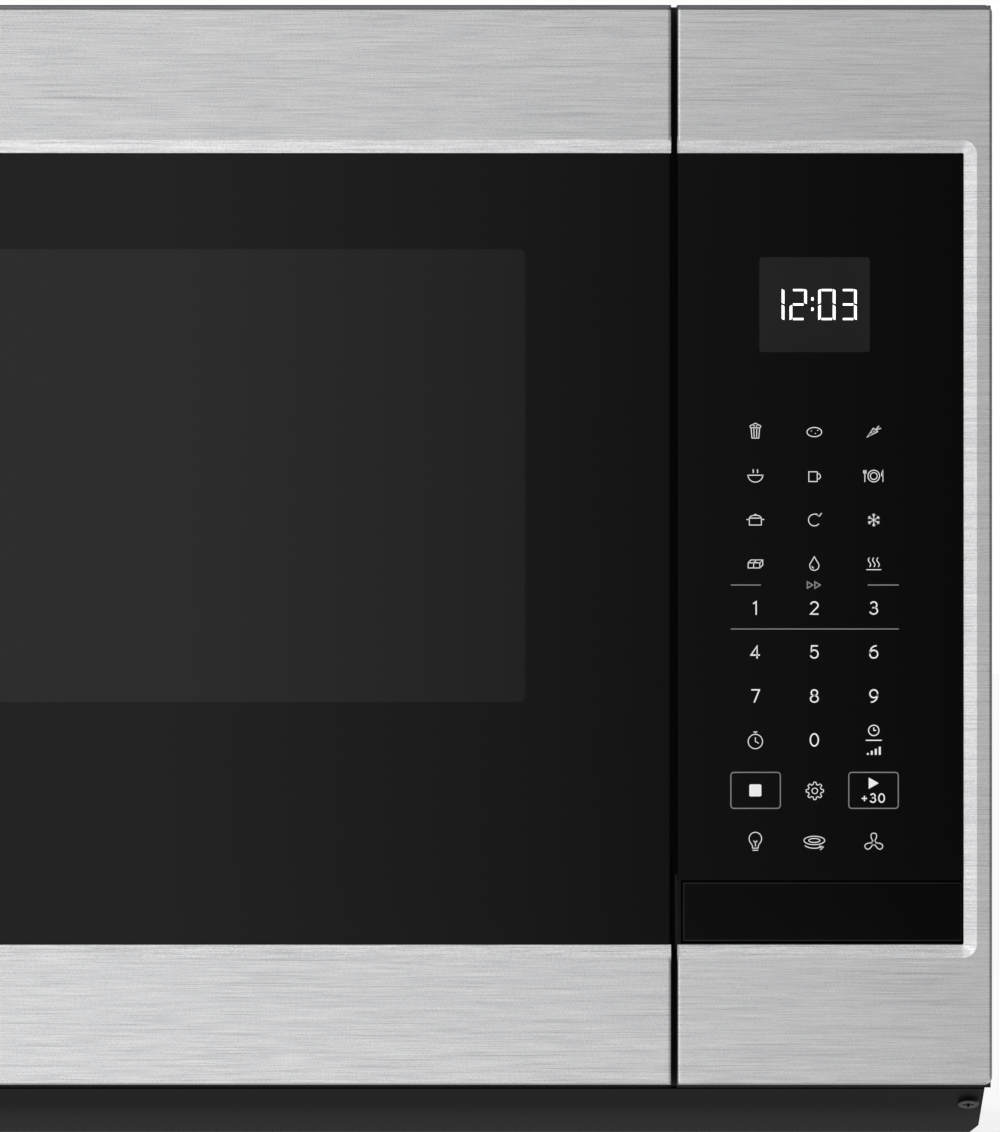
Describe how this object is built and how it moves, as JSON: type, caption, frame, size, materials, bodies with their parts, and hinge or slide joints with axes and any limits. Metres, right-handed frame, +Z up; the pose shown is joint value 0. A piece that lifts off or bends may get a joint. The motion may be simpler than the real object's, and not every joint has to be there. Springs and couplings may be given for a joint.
{
  "type": "over-the-range microwave oven",
  "caption": "Over-the-range microwave oven with a stainless-framed black glass door, touch panel, turntable, vent blower and wall plate.",
  "frame": {"origin": "middle of the base, where the underside rests", "axes": "+X to the right as seen from the front, +Y to the rear (the wall), +Z up"},
  "size_m": [0.7588, 0.394, 0.435],
  "materials": {
    "stainless": "satin",
    "front_glass": "polished",
    "black_plastic": "matte",
    "light_plastic": "satin",
    "enamel": "gloss",
    "dark_coat": "satin",
    "film": "gloss",
    "spring_steel": "polished",
    "zinc_steel": "satin",
    "motor_steel": "satin",
    "aluminium_mesh": "satin",
    "wheel_metal": "satin",
    "copper": "gloss",
    "board": "satin",
    "display": "gloss",
    "switch_plastic": "satin",
    "charcoal": "matte",
    "tray_glass": "polished",
    "lens": "satin"
  },
  "bodies": {
    "chassis": {"panel_skin": "stainless", "panel_glass": "front_glass", "panel_frame": "black_plastic", "display_module": "display", "control_board": "board", "button_spring": "spring_steel", "latch_body": "light_plastic", "interlock_switches": "switch_plastic", "hinge_washers": "zinc_steel", "hinge_brackets": "zinc_steel", "front_frame": "enamel", "cavity_liner": "enamel", "waveguide_cover": "light_plastic", "cavity_lamp": "zinc_steel", "turntable_motor": "motor_steel", "waveguide": "zinc_steel", "magnetron": "motor_steel", "transformer_core": "zinc_steel", "transformer_windings": "copper", "hv_capacitor": "zinc_steel", "noise_filter": "board", "thermal_cutouts": "zinc_steel", "fan_shroud": "black_plastic", "fan_motor": "motor_steel", "blower_housing": "zinc_steel", "blower_motor": "motor_steel", "exhaust_frame": "black_plastic", "vent_grille": "black_plastic", "charcoal_filter": "charcoal", "bottom_pan": "dark_coat", "lamp_lenses": "lens", "cooktop_lamps": "board", "base_plate": "zinc_steel", "outer_wrap": "dark_coat", "back_panel": "zinc_steel", "wall_plate": "zinc_steel", "case_screws": "zinc_steel", "cord_grommet": "black_plastic"},
    "door": {"door_skin": "stainless", "door_glass": "front_glass", "door_frame": "black_plastic", "door_choke": "enamel", "inner_window": "film", "choke_cover": "black_plastic", "latch_spring": "spring_steel", "door_hinge_plates": "zinc_steel"},
    "latch": {"latch_hooks": "light_plastic"},
    "release_button": {"release_button": "black_plastic"},
    "release_lever": {"release_lever": "light_plastic"},
    "coupler": {"turntable_coupler": "light_plastic"},
    "tray": {"glass_tray": "tray_glass"},
    "ring": {"roller_ring": "light_plastic"},
    "roller_1": {"roller_1": "light_plastic"},
    "roller_2": {"roller_2": "light_plastic"},
    "roller_3": {"roller_3": "light_plastic"},
    "blower_rotor": {"blower_rotor": "wheel_metal"},
    "fan_blade": {"fan_blade": "light_plastic"},
    "damper_flap": {"damper_flap": "zinc_steel"},
    "grease_left": {"grease_filter_left": "aluminium_mesh"},
    "grease_right": {"grease_filter_right": "aluminium_mesh"}
  },
  "joints": [
    {"name": "door_hinge", "type": "hinge", "parent": "chassis", "child": "door", "pos_m": [-0.366, -0.17, 0.224], "axis": [0, 0, -1], "range_deg": [0, 95]},
    {"name": "latch_slide", "type": "slide", "parent": "door", "child": "latch", "axis": [0, 0, 1], "range_m": [-0.004, 0], "stiffness_N_per_m": 120, "springref_m": -0.012, "deforming": ["latch_spring"]},
    {"name": "button_slide", "type": "slide", "parent": "chassis", "child": "release_button", "axis": [0, 1, 0], "range_m": [0, 0.004], "stiffness_N_per_m": 250, "springref_m": -0.006, "deforming": ["button_spring"]},
    {"name": "lever_hinge", "type": "hinge", "parent": "chassis", "child": "release_lever", "pos_m": [0.25, -0.141, 0.106], "axis": [1, 0, 0], "range_deg": [0, 14.33]},
    {"name": "turntable_spin", "type": "hinge", "parent": "chassis", "child": "coupler", "pos_m": [-0.0615, 0.0059, 0.0865], "axis": [0, 0, 1], "continuous": true},
    {"name": "tray_lift", "type": "slide", "parent": "coupler", "child": "tray", "axis": [0, 0, 1], "range_m": [0, 0.022]},
    {"name": "ring_spin", "type": "hinge", "parent": "chassis", "child": "ring", "pos_m": [-0.0615, 0.0059, 0.0993], "axis": [0, 0, 1], "continuous": true},
    {"name": "blower_spin", "type": "hinge", "parent": "chassis", "child": "blower_rotor", "pos_m": [0, 0.137, 0.385], "axis": [1, 0, 0], "continuous": true},
    {"name": "fan_spin", "type": "hinge", "parent": "chassis", "child": "fan_blade", "pos_m": [0.2688, 0.118, 0.299], "axis": [0, 1, 0], "continuous": true},
    {"name": "damper_hinge", "type": "hinge", "parent": "chassis", "child": "damper_flap", "pos_m": [0, 0.175, 0.4304], "axis": [-1, 0, 0], "range_deg": [0, 80]},
    {"name": "grease_left_tilt", "type": "hinge", "parent": "chassis", "child": "grease_left", "pos_m": [-0.235, 0.08, 0.0013], "axis": [1, 0, 0], "range_deg": [0, 60]},
    {"name": "grease_right_tilt", "type": "hinge", "parent": "chassis", "child": "grease_right", "pos_m": [0.235, 0.08, 0.0013], "axis": [1, 0, 0], "range_deg": [0, 60]},
    {"name": "roller_1_spin", "type": "hinge", "parent": "ring", "child": "roller_1", "pos_m": [0.0435, 0.0059, 0.0993], "axis": [1, 0, 0], "continuous": true},
    {"name": "roller_2_spin", "type": "hinge", "parent": "ring", "child": "roller_2", "pos_m": [-0.114, 0.09683, 0.0993], "axis": [-0.5, 0.866, 0], "continuous": true},
    {"name": "roller_3_spin", "type": "hinge", "parent": "ring", "child": "roller_3", "pos_m": [-0.114, -0.08503, 0.0993], "axis": [-0.5, -0.866, 0], "continuous": true}
  ],
  "couplings": [
    {"joint": "lever_hinge", "follows": "button_slide", "rad_per_m": 62.5},
    {"joint": "ring_spin", "follows": "turntable_spin", "ratio": 0.5},
    {"joint": "roller_1_spin", "follows": "turntable_spin", "ratio": -7.5},
    {"joint": "roller_2_spin", "follows": "turntable_spin", "ratio": -7.5},
    {"joint": "roller_3_spin", "follows": "turntable_spin", "ratio": -7.5}
  ]
}
